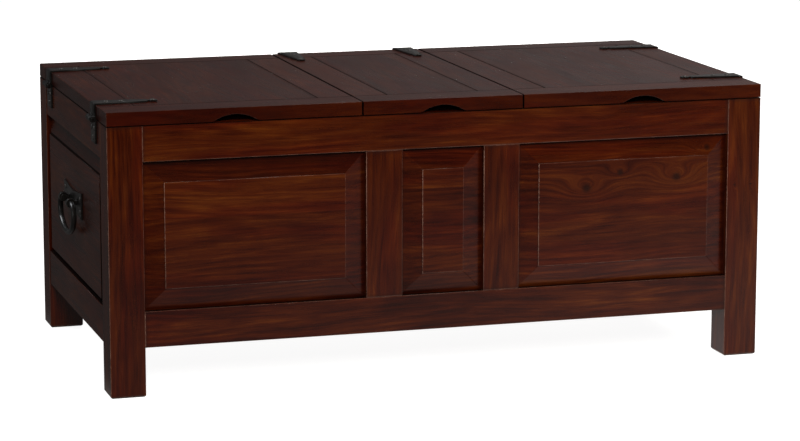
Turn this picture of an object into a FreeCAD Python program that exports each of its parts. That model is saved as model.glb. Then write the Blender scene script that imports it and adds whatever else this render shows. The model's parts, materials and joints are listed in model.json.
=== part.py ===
"""A low wooden chest with a frame-and-panel carcass, three lids on iron strap hinges and two side handles.

Millimetres, +Z up. The origin is on the floor under the middle of the carcass, X runs along the chest
and -Y is its front.
"""
import FreeCAD, Part
import Sketcher
import math
import os
import re

Vector = FreeCAD.Vector
Rotation = FreeCAD.Rotation

SIZES = {
    # carcass
    "body_length": 1200,
    "body_depth": 644,
    "body_height": 475,
    "leg_side": 62,
    "foot_ease": 3,
    "rail_setback": 1,
    "rail_thickness": 28,
    "top_rail_height": 63,
    "bottom_rail_height": 64,
    "floor_clearance": 87,
    "muntin_width": 66,
    "middle_opening": 150,
    # joints between rails, legs, muntins and panels, each setback counted from the rail's face
    "tenon_length": 24,
    "tenon_thickness": 10,
    "tenon_setback": 9,
    "tenon_shoulder": 8,
    "mortise_depth": 25,
    "groove_setback": 11,
    "groove_depth": 9,
    "tongue_reach": 8,
    "tongue_thickness": 6,
    "stub_length": 8,
    "stub_shoulder": 10,
    # raised panels
    "field_setback": 1,
    "field_step": 1.8,
    "bevel_width": 37,
    "end_bevel_side": 20,
    "end_bevel_top": 34,
    "end_bevel_bottom": 9,
    # floor
    "cleat_side": 20,
    "floor_thickness": 12,
    "floor_play": 0.5,
    # lids
    "lid_rest_gap": 1,
    "lid_thickness": 24,
    "lid_gap": 2.5,
    "middle_lid_width": 292,
    "lid_front_rail": 66,
    "lid_back_rail": 60,
    "lid_stile": 62,
    "lid_panel_lift": 4,
    "lid_groove_height": 9,
    "lid_tongue": 8,
    "lid_groove_stop": 9,
    "notch_height": 12.5,
    "notch_radius": 70,
    "notch_flare": 15,
    "notch_depth": 26,
    # strap hinges
    "hinge_spread": 212,
    "back_hinge_spread": 116,
    "hinge_width": 38,
    "iron_thickness": 3,
    "barrel_radius": 5.5,
    "barrel_gap": 0.4,
    "knuckle_width": 13,
    "knuckle_play": 0.35,
    "pin_radius": 2.5,
    "pin_play": 0.06,
    "pin_head_radius": 3.6,
    "pin_head_height": 1.6,
    "leaf_drop": 43,
    "strap_taper": 92,
    "strap_tip_width": 20,
    "strap_neck_width": 8,
    "penny_centre": 104,
    "penny_radius": 8.5,
    # rivets, screws and nails
    "rivet_near": 21,
    "rivet_middle": 48,
    "screw_across": 11,
    "screw_high": 17,
    "screw_low": 34,
    "shank_radius": 1.8,
    "shank_play": 0.1,
    "shank_length": 13,
    "head_radius": 4.2,
    "head_height": 1.8,
    # side handles
    "handle_height": 295,
    "plate_length": 164,
    "plate_height": 48,
    "plate_notch": 8,
    "nail_across": 70,
    "nail_rise": 12,
    "eye_spread": 35,
    "eye_width": 10,
    "eye_radius": 8.5,
    "eye_reach": 13.5,
    "eye_shank_radius": 3,
    "eye_neck_radius": 4.5,
    "peen_radius": 7,
    "peen_height": 3,
    "bail_radius": 5,
    "bail_play": 0.08,
    "bail_end": 27,
    "bail_turn_in": 45,
    "bail_shoulder": 20,
    "bail_corner": 28,
    "bail_bottom": 102,
}

# Lengths that several pieces share, worked out from the sheet.
BETWEEN_LEGS_LONG = "(body_length - 2 * leg_side)"
BETWEEN_LEGS_SHORT = "(body_depth - 2 * leg_side)"
TOP_RAIL_BASE = "(body_height - top_rail_height)"
OPENING_BASE = "(floor_clearance + bottom_rail_height)"
OPENING_HEIGHT = f"({TOP_RAIL_BASE} - {OPENING_BASE})"
SIDE_OPENING = f"({BETWEEN_LEGS_LONG} / 2 - middle_opening / 2 - muntin_width)"
MUNTIN_PLACE = "(middle_opening / 2 + muntin_width / 2)"
SIDE_PANEL_PLACE = f"({BETWEEN_LEGS_LONG} / 2 - {SIDE_OPENING} / 2)"
PANEL_THICKNESS = "(groove_setback + tongue_thickness - field_setback)"
SIDE_LID_WIDTH = "(body_length / 2 - middle_lid_width / 2 - lid_gap)"
SIDE_LID_PLACE = f"(body_length / 2 - {SIDE_LID_WIDTH} / 2)"
LID_BASE = "(body_height + lid_rest_gap)"
LID_OPENING_DEPTH = "(body_depth - lid_front_rail - lid_back_rail)"
LID_OPENING_FRONT = "(lid_front_rail - body_depth / 2)"
AXIS_HEIGHT = "(body_height + lid_rest_gap / 2)"
AXIS_OFFSET = "(barrel_radius + barrel_gap)"
STRAP_RISE = "(lid_thickness + lid_rest_gap / 2)"
KNUCKLE_CLEAR = "(barrel_radius + knuckle_play)"

ADD_BOX = "PartDesign::AdditiveBox"
CUT_BOX = "PartDesign::SubtractiveBox"
ADD_ROUND = "PartDesign::AdditiveCylinder"
CUT_ROUND = "PartDesign::SubtractiveCylinder"
UP = Vector(0, 0, 1)
ALONG_X = Rotation(Vector(0, 1, 0), 90)
ALONG_Y = Rotation(Vector(1, 0, 0), -90)
ALONG_MINUS_X = Rotation(Vector(0, 1, 0), -90)
ALONG_MINUS_Y = Rotation(Vector(1, 0, 0), 90)
UPRIGHT = Rotation()

doc = FreeCAD.newDocument("wooden_chest")
sheet = doc.addObject("Spreadsheet::Sheet", "Sizes")
for row, (alias, value) in enumerate(SIZES.items(), start=1):
    sheet.set(f"A{row}", alias)
    sheet.set(f"B{row}", str(value))
    sheet.setAlias(f"B{row}", alias)
doc.recompute()

sub_parts = []


# ---------------------------------------------------------------- building helpers


def bound(text):
    """The expression with each of its cell names pointing at the sheet."""
    return re.sub(r"[a-z][a-z_]+", lambda word: f"Sizes.{word[0]}" if word[0] in SIZES else word[0], text)


def place(piece, at, rotation=UPRIGHT):
    """Turns a piece and binds its position to three expressions."""
    piece.Placement = FreeCAD.Placement(Vector(), rotation)
    for letter, text in zip("xyz", at):
        piece.setExpression(f"Placement.Base.{letter}", bound(text))
    return piece


def turned(centre, offset, turn):
    """The place of an offset from a centre, once the offset has turned about Z by quarter turns."""
    across, along = offset
    steps = {
        0: (f"{across}", f"{along}"),
        90: (f"-({along})", f"{across}"),
        180: (f"-({across})", f"-({along})"),
        -90: (f"{along}", f"-({across})"),
    }
    step_x, step_y = steps[turn]
    return (f"({centre[0]}) + ({step_x})", f"({centre[1]}) + ({step_y})")


def new_body(name):
    """A body whose label names a sub-part."""
    body = doc.addObject("PartDesign::Body", name)
    body.Label = name
    sub_parts.append(body)
    return body


def box(body, kind, name, at, size):
    """A box added to a body or cut from it, from its lowest corner."""
    feature = body.newObject(kind, name)
    for prop, text in zip(("Length", "Width", "Height"), size):
        feature.setExpression(prop, bound(text))
    return place(feature, at)


def rod(body, kind, name, at, rotation, radius, length):
    """A cylinder added to a body or cut from it, from the middle of one end."""
    feature = body.newObject(kind, name)
    feature.setExpression("Radius", bound(radius))
    feature.setExpression("Height", bound(length))
    return place(feature, at, rotation)


def sketch_on(body, role, name):
    """A sketch attached to one of the body's own origin planes."""
    plane = next(feature for feature in body.Origin.OriginFeatures if feature.Role == role)
    sketch = body.newObject("Sketcher::SketchObject", name)
    sketch.AttachmentSupport = [(plane, "")]
    sketch.MapMode = "FlatFace"
    return sketch


def dimension(sketch, name, kind, where, text):
    """A constraint of a sketch, made at its present size and then bound to an expression."""
    if kind == "Radius":
        start = sketch.Geometry[where[0]].Radius
    else:
        step = sketch.getPoint(*where[2:]) - sketch.getPoint(*where[:2])
        start = step.x if kind == "DistanceX" else step.y
    number = sketch.addConstraint(Sketcher.Constraint(kind, *where, start))
    sketch.renameConstraint(number, name)
    sketch.setExpression(f"Constraints.{name}", bound(text))


def polygon(sketch, corners):
    """A closed outline of straight edges, each corner bound to an (across, up) pair of expressions."""
    count = len(corners)
    first_guess = [Vector(50 * math.cos(6.28 * step / count), 50 * math.sin(6.28 * step / count), 0)
                   for step in range(count)]
    for step in range(count):
        sketch.addGeometry(Part.LineSegment(first_guess[step], first_guess[(step + 1) % count]))
    for step in range(count):
        sketch.addConstraint(Sketcher.Constraint("Coincident", step, 2, (step + 1) % count, 1))
    for step, (across, up) in enumerate(corners):
        dimension(sketch, f"across_{step}", "DistanceX", (-1, 1, step, 1), across)
        dimension(sketch, f"up_{step}", "DistanceY", (-1, 1, step, 1), up)


def pad(body, sketch, name, length):
    """A sketch given a thickness."""
    feature = body.newObject("PartDesign::Pad", name)
    feature.Profile = sketch
    feature.setExpression("Length", bound(length))
    return feature


def solid(kind, name, at, rotation=UPRIGHT, **sizes):
    """A Part primitive with its sizes and its place bound."""
    piece = doc.addObject(kind, name)
    for prop, text in sizes.items():
        piece.setExpression(prop, bound(text))
    return place(piece, at, rotation)


def fused(name, *pieces):
    """Several Part solids made one."""
    piece = doc.addObject("Part::MultiFuse", name)
    piece.Shapes = list(pieces)
    return piece


def group(name, pieces):
    """Separate solids that share one node."""
    piece = doc.addObject("Part::Compound", name)
    piece.Label = name
    piece.Links = pieces
    sub_parts.append(piece)
    return piece


# ---------------------------------------------------------------- carcass

# Each side of the chest as it is seen from outside: its turn about Z, the middle of its rails' faces
# and the clear length between its legs.
LONG_FACE = "(body_depth / 2 - rail_setback)"
SHORT_FACE = "(body_length / 2 - rail_setback)"
SIDES = {
    "front": (0, ("0", f"-{LONG_FACE}"), BETWEEN_LEGS_LONG),
    "back": (180, ("0", LONG_FACE), BETWEEN_LEGS_LONG),
    "left": (-90, (f"-{SHORT_FACE}", "0"), BETWEEN_LEGS_SHORT),
    "right": (90, (SHORT_FACE, "0"), BETWEEN_LEGS_SHORT),
}
RAILS = {
    "top_rail": (TOP_RAIL_BASE, "top_rail_height", "0"),
    "bottom_rail": ("floor_clearance", "bottom_rail_height", "(bottom_rail_height - groove_depth)"),
}


def leg(name, corner, turn):
    """A square post from its outer corner, grooved and mortised on its two inner faces, foot eased."""
    body = new_body(name)
    post = box(body, ADD_BOX, f"{name}_post", ("0", "0", "0"), ("leg_side", "leg_side", "body_height"))
    doc.recompute()
    foot = body.newObject("PartDesign::Chamfer", f"{name}_foot")
    bottom_edges = [f"Edge{number}" for number, edge in enumerate(post.Shape.Edges, start=1)
                    if edge.BoundBox.ZMax < SIZES["foot_ease"]]
    foot.Base = (post, bottom_edges)
    foot.setExpression("Size", bound("foot_ease"))
    for face in ("long", "short"):
        groove_at = ("leg_side - groove_depth", "rail_setback + groove_setback")
        groove_size = ("groove_depth", "tongue_thickness")
        mortise_at = ("leg_side - mortise_depth", "rail_setback + tenon_setback")
        mortise_size = ("mortise_depth", "tenon_thickness")
        if face == "short":
            groove_at, groove_size = groove_at[::-1], groove_size[::-1]
            mortise_at, mortise_size = mortise_at[::-1], mortise_size[::-1]
        groove_base = f"{OPENING_BASE} - tongue_reach"
        groove_height = f"{OPENING_HEIGHT} + 2 * tongue_reach"
        box(body, CUT_BOX, f"{name}_{face}_groove", (*groove_at, groove_base), (*groove_size, groove_height))
        for rail_name, (base, height, _) in RAILS.items():
            mortise_base = f"{base} + tenon_shoulder"
            mortise_height = f"{height} - 2 * tenon_shoulder"
            box(body, CUT_BOX, f"{name}_{face}_{rail_name}_mortise",
                (*mortise_at, mortise_base), (*mortise_size, mortise_height))
    place(body, (*corner, "0"), Rotation(UP, turn))


def rail(name, side, base, height, groove_base):
    """A rail with a tenon at each end and a groove for the panels, from the middle of its face."""
    turn, middle, clear = SIDES[side]
    body = new_body(name)
    box(body, ADD_BOX, f"{name}_bar", (f"-{clear} / 2", "0", "0"), (clear, "rail_thickness", height))
    box(body, ADD_BOX, f"{name}_tenons",
        (f"-{clear} / 2 - tenon_length", "tenon_setback", "tenon_shoulder"),
        (f"{clear} + 2 * tenon_length", "tenon_thickness", f"{height} - 2 * tenon_shoulder"))
    box(body, CUT_BOX, f"{name}_groove",
        (f"-{clear} / 2", "groove_setback", groove_base), (clear, "tongue_thickness", "groove_depth"))
    place(body, (*middle, base), Rotation(UP, turn))
    return body


def muntin(name, side, offset):
    """An upright between the rails, with a stub tenon at each end and a groove in each edge."""
    turn, middle, _ = SIDES[side]
    body = new_body(name)
    box(body, ADD_BOX, f"{name}_bar",
        ("-muntin_width / 2", "0", "0"), ("muntin_width", "rail_thickness", OPENING_HEIGHT))
    box(body, ADD_BOX, f"{name}_stubs",
        ("stub_shoulder - muntin_width / 2", "groove_setback", "-stub_length"),
        ("muntin_width - 2 * stub_shoulder", "tongue_thickness", f"{OPENING_HEIGHT} + 2 * stub_length"))
    for edge, groove_start in (("left", "-muntin_width / 2"), ("right", "muntin_width / 2 - groove_depth")):
        box(body, CUT_BOX, f"{name}_{edge}_groove",
            (groove_start, "groove_setback", "0"), ("groove_depth", "tongue_thickness", OPENING_HEIGHT))
    place(body, (offset, middle[1], OPENING_BASE), Rotation(UP, turn))


def raised_panel(name, side, offset, width):
    """A board with a tongue all round, a bevel that rises from it and a raised field with a small step."""
    turn, middle, _ = SIDES[side]
    edge, low, high = "bevel_width", "bevel_width", "bevel_width"
    if side in ("left", "right"):
        edge, low, high = "end_bevel_side", "end_bevel_bottom", "end_bevel_top"
    body = new_body(name)
    box(body, ADD_BOX, f"{name}_tongue",
        (f"-{width} / 2 - tongue_reach", "groove_setback", "-tongue_reach"),
        (f"{width} + 2 * tongue_reach", "tongue_thickness", f"{OPENING_HEIGHT} + 2 * tongue_reach"))
    bevel = body.newObject("PartDesign::AdditiveWedge", f"{name}_bevel")
    wedge = {
        "Ymin": "field_setback + field_step",
        "Xmin": f"{edge} - {width} / 2",
        "Xmax": f"{width} / 2 - {edge}",
        "Zmin": low,
        "Zmax": f"{OPENING_HEIGHT} - {high}",
        "Ymax": "groove_setback",
        "X2min": f"-{width} / 2",
        "X2max": f"{width} / 2",
        "Z2min": "0",
        "Z2max": OPENING_HEIGHT,
    }
    for prop, text in wedge.items():
        bevel.setExpression(prop, bound(text))
    box(body, ADD_BOX, f"{name}_field",
        (f"{edge} - {width} / 2", "field_setback", low),
        (f"{width} - 2 * {edge}", PANEL_THICKNESS, f"{OPENING_HEIGHT} - {low} - {high}"))
    if side in ("left", "right"):
        height = f"handle_height - {OPENING_BASE}"
        for end in (-1, 1):
            rod(body, CUT_ROUND, f"{name}_eye_hole_{end + 2}",
                (f"{end} * eye_spread", "0", height), ALONG_Y,
                "eye_shank_radius + shank_play", "rail_thickness")
            for rise in (-1, 1):
                rod(body, CUT_ROUND, f"{name}_nail_hole_{end + 2}_{rise + 2}",
                    (f"{end} * nail_across", "0", f"{height} + {rise} * nail_rise"), ALONG_Y,
                    "shank_radius + shank_play", "field_setback + shank_length - iron_thickness")
    place(body, (offset, middle[1], OPENING_BASE) if side in ("front", "back") else (*middle, OPENING_BASE),
          Rotation(UP, turn))


leg("front_left_leg", ("-body_length / 2", "-body_depth / 2"), 0)
leg("front_right_leg", ("body_length / 2", "-body_depth / 2"), 90)
leg("back_right_leg", ("body_length / 2", "body_depth / 2"), 180)
leg("back_left_leg", ("-body_length / 2", "body_depth / 2"), -90)

rail_bodies = {}
for side in SIDES:
    for rail_name, (base, height, groove_base) in RAILS.items():
        name = f"{side}_{rail_name}"
        rail_bodies[name] = rail(name, side, base, height, groove_base)

for side in ("front", "back"):
    muntin(f"{side}_left_muntin", side, f"-{MUNTIN_PLACE}")
    muntin(f"{side}_right_muntin", side, MUNTIN_PLACE)
    raised_panel(f"{side}_left_panel", side, f"-{SIDE_PANEL_PLACE}", SIDE_OPENING)
    raised_panel(f"{side}_middle_panel", side, "0", "middle_opening")
    raised_panel(f"{side}_right_panel", side, SIDE_PANEL_PLACE, SIDE_OPENING)
for side in ("left", "right"):
    raised_panel(f"{side}_side_panel", side, "0", BETWEEN_LEGS_SHORT)


# ---------------------------------------------------------------- floor

INNER_X = "(body_length / 2 - rail_setback - rail_thickness)"
INNER_Y = "(body_depth / 2 - rail_setback - rail_thickness)"
FLOOR_BASE = "(floor_clearance + cleat_side)"


def floor_panel():
    """A board on the cleats, cut out round the legs."""
    body = new_body("floor_panel")
    box(body, ADD_BOX, "floor_board",
        (f"floor_play - {INNER_X}", f"floor_play - {INNER_Y}", "0"),
        (f"2 * ({INNER_X} - floor_play)", f"2 * ({INNER_Y} - floor_play)", "floor_thickness"))
    for end in (-1, 1):
        for face in (-1, 1):
            box(body, CUT_BOX, f"floor_corner_{end + 2}_{face + 2}",
                (f"{end} * (body_length / 2 - leg_side / 2) - leg_side / 2 - floor_play",
                 f"{face} * (body_depth / 2 - leg_side / 2) - leg_side / 2 - floor_play", "0"),
                ("leg_side + 2 * floor_play", "leg_side + 2 * floor_play", "floor_thickness"))
    place(body, ("0", "0", FLOOR_BASE))


def floor_cleats():
    """Four square strips along the bottom rails, between the legs."""
    strips = []
    for end in (-1, 1):
        strips.append(solid(
            "Part::Box", f"long_cleat_{end + 2}",
            (f"-{BETWEEN_LEGS_LONG} / 2", f"{end} * ({INNER_Y} - cleat_side / 2) - cleat_side / 2",
             "floor_clearance"),
            Length=BETWEEN_LEGS_LONG, Width="cleat_side", Height="cleat_side"))
        strips.append(solid(
            "Part::Box", f"short_cleat_{end + 2}",
            (f"{end} * ({INNER_X} - cleat_side / 2) - cleat_side / 2", f"-{BETWEEN_LEGS_SHORT} / 2",
             "floor_clearance"),
            Length="cleat_side", Width=BETWEEN_LEGS_SHORT, Height="cleat_side"))
    group("floor_cleats", strips)


floor_panel()
floor_cleats()


# ---------------------------------------------------------------- lids

LIDS = {
    "left_lid": (f"-{SIDE_LID_PLACE}", SIDE_LID_WIDTH),
    "middle_lid": ("0", "middle_lid_width"),
    "right_lid": (SIDE_LID_PLACE, SIDE_LID_WIDTH),
}


def rivet_hole(body, name, at):
    """A hole for a rivet's shank in the top of a lid piece, in the lid's own frame."""
    depth = "(shank_length - iron_thickness)"
    rod(body, CUT_ROUND, name, (*at, f"lid_thickness - {depth}"), UPRIGHT, "shank_radius + shank_play", depth)


def finger_notch(body, name):
    """A shallow arch in the front lower edge, flared where it meets the underside."""
    sketch = sketch_on(body, "XZ_Plane", f"{name}_outline")
    rise = SIZES["notch_height"]
    arch = SIZES["notch_radius"]
    flare = SIZES["notch_flare"]
    centre = rise - arch
    reach = math.sqrt((arch + flare) ** 2 - (flare - centre) ** 2)
    meeting = reach * arch / (arch + flare)
    half_angle = math.asin(meeting / arch)
    quarter = math.pi / 2
    circle = Part.Circle(Vector(0, centre, 0), UP, arch)
    left_flare = Part.Circle(Vector(-reach, flare, 0), UP, flare)
    right_flare = Part.Circle(Vector(reach, flare, 0), UP, flare)
    sketch.addGeometry(Part.ArcOfCircle(circle, quarter - half_angle, quarter + half_angle))
    sketch.addGeometry(Part.ArcOfCircle(left_flare, -quarter, -quarter + half_angle))
    sketch.addGeometry(Part.ArcOfCircle(right_flare, -quarter - half_angle, -quarter))
    sketch.addGeometry(Part.LineSegment(Vector(-reach, 0, 0), Vector(reach, 0, 0)))
    sketch.addConstraint(Sketcher.Constraint("Tangent", 0, 2, 1, 2))
    sketch.addConstraint(Sketcher.Constraint("Tangent", 0, 1, 2, 1))
    sketch.addConstraint(Sketcher.Constraint("Tangent", 3, 1, 1, 1))
    sketch.addConstraint(Sketcher.Constraint("Tangent", 3, 2, 2, 2))
    sketch.addConstraint(Sketcher.Constraint("PointOnObject", 3, 1, -1))
    sketch.addConstraint(Sketcher.Constraint("Horizontal", 3))
    sketch.addConstraint(Sketcher.Constraint("PointOnObject", 0, 3, -2))
    dimension(sketch, "arch", "Radius", (0,), "notch_radius")
    dimension(sketch, "left_flare", "Radius", (1,), "notch_flare")
    dimension(sketch, "right_flare", "Radius", (2,), "notch_flare")
    dimension(sketch, "centre", "DistanceY", (0, 3, -1, 1), "notch_radius - notch_height")
    sketch.setExpression("AttachmentOffset.Base.z", bound("body_depth / 2"))
    doc.recompute()
    before = body.Shape.Volume
    notch = body.newObject("PartDesign::Pocket", name)
    notch.Profile = sketch
    notch.setExpression("Length", bound("notch_depth"))
    doc.recompute()
    if body.Shape.Volume >= before:
        raise RuntimeError(f"{name} cuts nothing")


def lid(name, offset, width):
    """A frame of two rails and two stiles round a flush panel, tongued and grooved."""
    groove_size = (f"{width} - 2 * lid_groove_stop", "groove_depth", "lid_tongue")
    front = new_body(f"{name}_front_rail")
    box(front, ADD_BOX, f"{name}_front_bar",
        (f"-{width} / 2", "-body_depth / 2", "0"), (width, "lid_front_rail", "lid_thickness"))
    box(front, CUT_BOX, f"{name}_front_groove",
        (f"lid_groove_stop - {width} / 2", f"{LID_OPENING_FRONT} - groove_depth", "lid_groove_height"),
        groove_size)
    finger_notch(front, f"{name}_finger_notch")
    back = new_body(f"{name}_back_rail")
    box(back, ADD_BOX, f"{name}_back_bar",
        (f"-{width} / 2", "body_depth / 2 - lid_back_rail", "0"), (width, "lid_back_rail", "lid_thickness"))
    box(back, CUT_BOX, f"{name}_back_groove",
        (f"lid_groove_stop - {width} / 2", "body_depth / 2 - lid_back_rail", "lid_groove_height"),
        groove_size)
    stiles = []
    for edge, end in (("left", -1), ("right", 1)):
        stile = new_body(f"{name}_{edge}_stile")
        middle = f"{end} * ({width} / 2 - lid_stile / 2)"
        box(stile, ADD_BOX, f"{name}_{edge}_bar",
            (f"{middle} - lid_stile / 2", LID_OPENING_FRONT, "0"),
            ("lid_stile", LID_OPENING_DEPTH, "lid_thickness"))
        box(stile, ADD_BOX, f"{name}_{edge}_stubs",
            (f"{middle} - lid_stile / 2 + stub_shoulder", f"{LID_OPENING_FRONT} - stub_length",
             "lid_groove_height"),
            ("lid_stile - 2 * stub_shoulder", f"{LID_OPENING_DEPTH} + 2 * stub_length", "lid_tongue"))
        box(stile, CUT_BOX, f"{name}_{edge}_groove",
            (f"{middle} - {end} * (lid_stile / 2 - groove_depth / 2) - groove_depth / 2",
             LID_OPENING_FRONT, "lid_groove_height"),
            ("groove_depth", LID_OPENING_DEPTH, "lid_tongue"))
        stiles.append(stile)
    panel = new_body(f"{name}_panel")
    inside = f"({width} - 2 * lid_stile)"
    box(panel, ADD_BOX, f"{name}_board",
        (f"-{inside} / 2", LID_OPENING_FRONT, "lid_panel_lift"),
        (inside, LID_OPENING_DEPTH, "lid_thickness - lid_panel_lift"))
    box(panel, ADD_BOX, f"{name}_tongue",
        (f"-{inside} / 2 - tongue_reach", f"{LID_OPENING_FRONT} - tongue_reach", "lid_groove_height"),
        (f"{inside} + 2 * tongue_reach", f"{LID_OPENING_DEPTH} + 2 * tongue_reach", "lid_tongue"))
    for spread in (-1, 1):
        if name == "middle_lid":
            across = f"{spread} * back_hinge_spread"
            near_piece, far_piece = back, stiles[(spread + 1) // 2]
            holes = {
                "near": (near_piece, across, "body_depth / 2 - rivet_near"),
                "middle": (near_piece, across, "body_depth / 2 - rivet_middle"),
                "far": (far_piece, across, "body_depth / 2 - penny_centre"),
            }
        else:
            end = -1 if name == "left_lid" else 1
            along = f"{spread} * hinge_spread"
            near_piece = stiles[(end + 1) // 2]
            holes = {
                "near": (near_piece, f"{end} * ({width} / 2 - rivet_near)", along),
                "middle": (near_piece, f"{end} * ({width} / 2 - rivet_middle)", along),
                "far": (panel, f"{end} * ({width} / 2 - penny_centre)", along),
            }
        for which, (piece, across, along) in holes.items():
            rivet_hole(piece, f"{name}_{which}_rivet_hole_{spread + 2}", (across, along))
    for piece in (front, back, *stiles, panel):
        place(piece, (offset, "0", LID_BASE))


for lid_name, (offset, width) in LIDS.items():
    lid(lid_name, offset, width)


# ---------------------------------------------------------------- strap hinges

# Each hinge in its own frame: its pin along Y, +X towards the lid, the origin on the pin's middle.
SIDE_AXIS = f"(body_length / 2 + {AXIS_OFFSET})"
BACK_AXIS = f"(body_depth / 2 + {AXIS_OFFSET})"
HINGES = {
    "left_lid_front": ((f"-{SIDE_AXIS}", "-hinge_spread"), 0),
    "left_lid_back": ((f"-{SIDE_AXIS}", "hinge_spread"), 0),
    "right_lid_front": ((SIDE_AXIS, "-hinge_spread"), 180),
    "right_lid_back": ((SIDE_AXIS, "hinge_spread"), 180),
    "middle_lid_left": (("-back_hinge_spread", BACK_AXIS), -90),
    "middle_lid_right": (("back_hinge_spread", BACK_AXIS), -90),
}
SCREWS = (("-screw_across", "screw_high"), ("screw_across", "screw_high"), ("0", "screw_low"))
RIVETS = ("rivet_near", "rivet_middle", "penny_centre")


def strap(name, centre, turn):
    """The moving half: a tapered strap that ends in a penny, folded over the lid's edge to two knuckles."""
    body = new_body(f"{name}_strap")
    outline = sketch_on(body, "XY_Plane", f"{name}_strap_outline")
    start = f"{AXIS_OFFSET}"
    taper_end = f"{AXIS_OFFSET} + strap_taper"
    polygon(outline, [
        (start, "-hinge_width / 2"),
        (taper_end, "-strap_tip_width / 2"),
        (f"{taper_end} + iron_thickness", "-strap_neck_width / 2"),
        (f"{AXIS_OFFSET} + penny_centre", "-strap_neck_width / 2"),
        (f"{AXIS_OFFSET} + penny_centre", "strap_neck_width / 2"),
        (f"{taper_end} + iron_thickness", "strap_neck_width / 2"),
        (taper_end, "strap_tip_width / 2"),
        (start, "hinge_width / 2"),
    ])
    outline.setExpression("AttachmentOffset.Base.z", bound(STRAP_RISE))
    pad(body, outline, f"{name}_strap_plate", "iron_thickness")
    rod(body, ADD_ROUND, f"{name}_penny",
        (f"{AXIS_OFFSET} + penny_centre", "0", STRAP_RISE), UPRIGHT, "penny_radius", "iron_thickness")
    rod(body, ADD_ROUND, f"{name}_fold",
        (AXIS_OFFSET, "-hinge_width / 2", STRAP_RISE), ALONG_Y, "iron_thickness", "hinge_width")
    box(body, CUT_BOX, f"{name}_fold_inside",
        (AXIS_OFFSET, "-hinge_width / 2", f"{STRAP_RISE} - iron_thickness"),
        ("iron_thickness", "hinge_width", "iron_thickness"))
    box(body, ADD_BOX, f"{name}_edge_plate",
        (f"{AXIS_OFFSET} - iron_thickness", "-hinge_width / 2", "0"),
        ("iron_thickness", "hinge_width", STRAP_RISE))
    rod(body, ADD_ROUND, f"{name}_strap_barrel",
        ("0", "-hinge_width / 2", "0"), ALONG_Y, "barrel_radius", "hinge_width")
    rod(body, CUT_ROUND, f"{name}_knuckle_gap",
        ("0", "-knuckle_width / 2 - knuckle_play", "0"), ALONG_Y, KNUCKLE_CLEAR,
        "knuckle_width + 2 * knuckle_play")
    rod(body, CUT_ROUND, f"{name}_strap_bore",
        ("0", "-hinge_width", "0"), ALONG_Y, "pin_radius + pin_play", "2 * hinge_width")
    for number, reach in enumerate(RIVETS):
        rod(body, CUT_ROUND, f"{name}_strap_hole_{number}",
            (f"{AXIS_OFFSET} + {reach}", "0", STRAP_RISE), UPRIGHT,
            "shank_radius + shank_play", "2 * iron_thickness")
    place(body, (*centre, AXIS_HEIGHT), Rotation(UP, turn))


def hinge_leaf(name, centre, turn):
    """The fixed half: a plate on the rail with one knuckle between the strap's two."""
    height = AXIS_HEIGHT
    inner = f"({AXIS_OFFSET} + rail_setback)"
    quarter = Rotation(UP, turn)
    plate_at = turned(centre, (f"{inner} - iron_thickness", "-hinge_width / 2"), turn)
    plate = solid("Part::Box", f"{name}_leaf_plate", (*plate_at, f"{height} - leaf_drop"), quarter,
                  Length="iron_thickness", Width="hinge_width", Height="leaf_drop")
    middle_at = turned(centre, ("0", "-knuckle_width / 2"), turn)
    knuckle = solid("Part::Cylinder", f"{name}_leaf_knuckle", (*middle_at, height), quarter * ALONG_Y,
                    Radius="barrel_radius", Height="knuckle_width")
    whole = fused(f"{name}_leaf_blank", plate, knuckle)
    cuts = []
    for end in (-1, 1):
        gap_at = turned(centre, ("0", f"{end} * (knuckle_width / 2 + hinge_width / 2) - hinge_width / 2"), turn)
        cuts.append(solid("Part::Cylinder", f"{name}_leaf_gap_{end + 2}", (*gap_at, height),
                          quarter * ALONG_Y, Radius=KNUCKLE_CLEAR, Height="hinge_width"))
    bore_at = turned(centre, ("0", "-hinge_width"), turn)
    cuts.append(solid("Part::Cylinder", f"{name}_leaf_bore", (*bore_at, height), quarter * ALONG_Y,
                      Radius="pin_radius + pin_play", Height="2 * hinge_width"))
    for number, (across, drop) in enumerate(SCREWS):
        hole_at = turned(centre, (f"{inner} - 2 * iron_thickness", across), turn)
        cuts.append(solid("Part::Cylinder", f"{name}_leaf_hole_{number}", (*hole_at, f"{height} - {drop}"),
                          quarter * ALONG_X, Radius="shank_radius + shank_play", Height="3 * iron_thickness"))
    leaf = doc.addObject("Part::Cut", f"{name}_leaf")
    leaf.Base = whole
    leaf.Tool = fused(f"{name}_leaf_cuts", *cuts)
    return leaf


def hinge_pin(name, centre, turn):
    """A pin with a flat head at each end."""
    quarter = Rotation(UP, turn)
    reach = "(hinge_width / 2 + knuckle_play)"
    rods = []
    for part, start, radius, length in (
        ("shaft", f"-{reach}", "pin_radius", f"2 * {reach}"),
        ("near_head", f"-{reach} - pin_head_height", "pin_head_radius", "pin_head_height"),
        ("far_head", reach, "pin_head_radius", "pin_head_height"),
    ):
        at = turned(centre, ("0", start), turn)
        rods.append(solid("Part::Cylinder", f"{name}_pin_{part}", (*at, AXIS_HEIGHT), quarter * ALONG_Y,
                          Radius=radius, Height=length))
    return fused(f"{name}_pin", *rods)


def domed(name, at, rotation):
    """A fastener with a domed head: at is where the head meets the iron, and its shank runs back from it."""
    cap_radius = "((head_radius * head_radius + head_height * head_height) / (2 * head_height))"
    back = rotation.multVec(UP)
    sink = [f"({text}) - ({round(step)}) * ({cap_radius} - head_height)" for text, step in zip(at, back)]
    cap = solid("Part::Sphere", f"{name}_cap", sink, rotation, Radius=cap_radius,
                Angle1=f"asin(1 - head_height / {cap_radius})")
    end = [f"({text}) - ({round(step)}) * shank_length" for text, step in zip(at, back)]
    shank = solid("Part::Cylinder", f"{name}_shank", end, rotation, Radius="shank_radius",
                  Height="shank_length")
    return fused(name, cap, shank)


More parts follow.
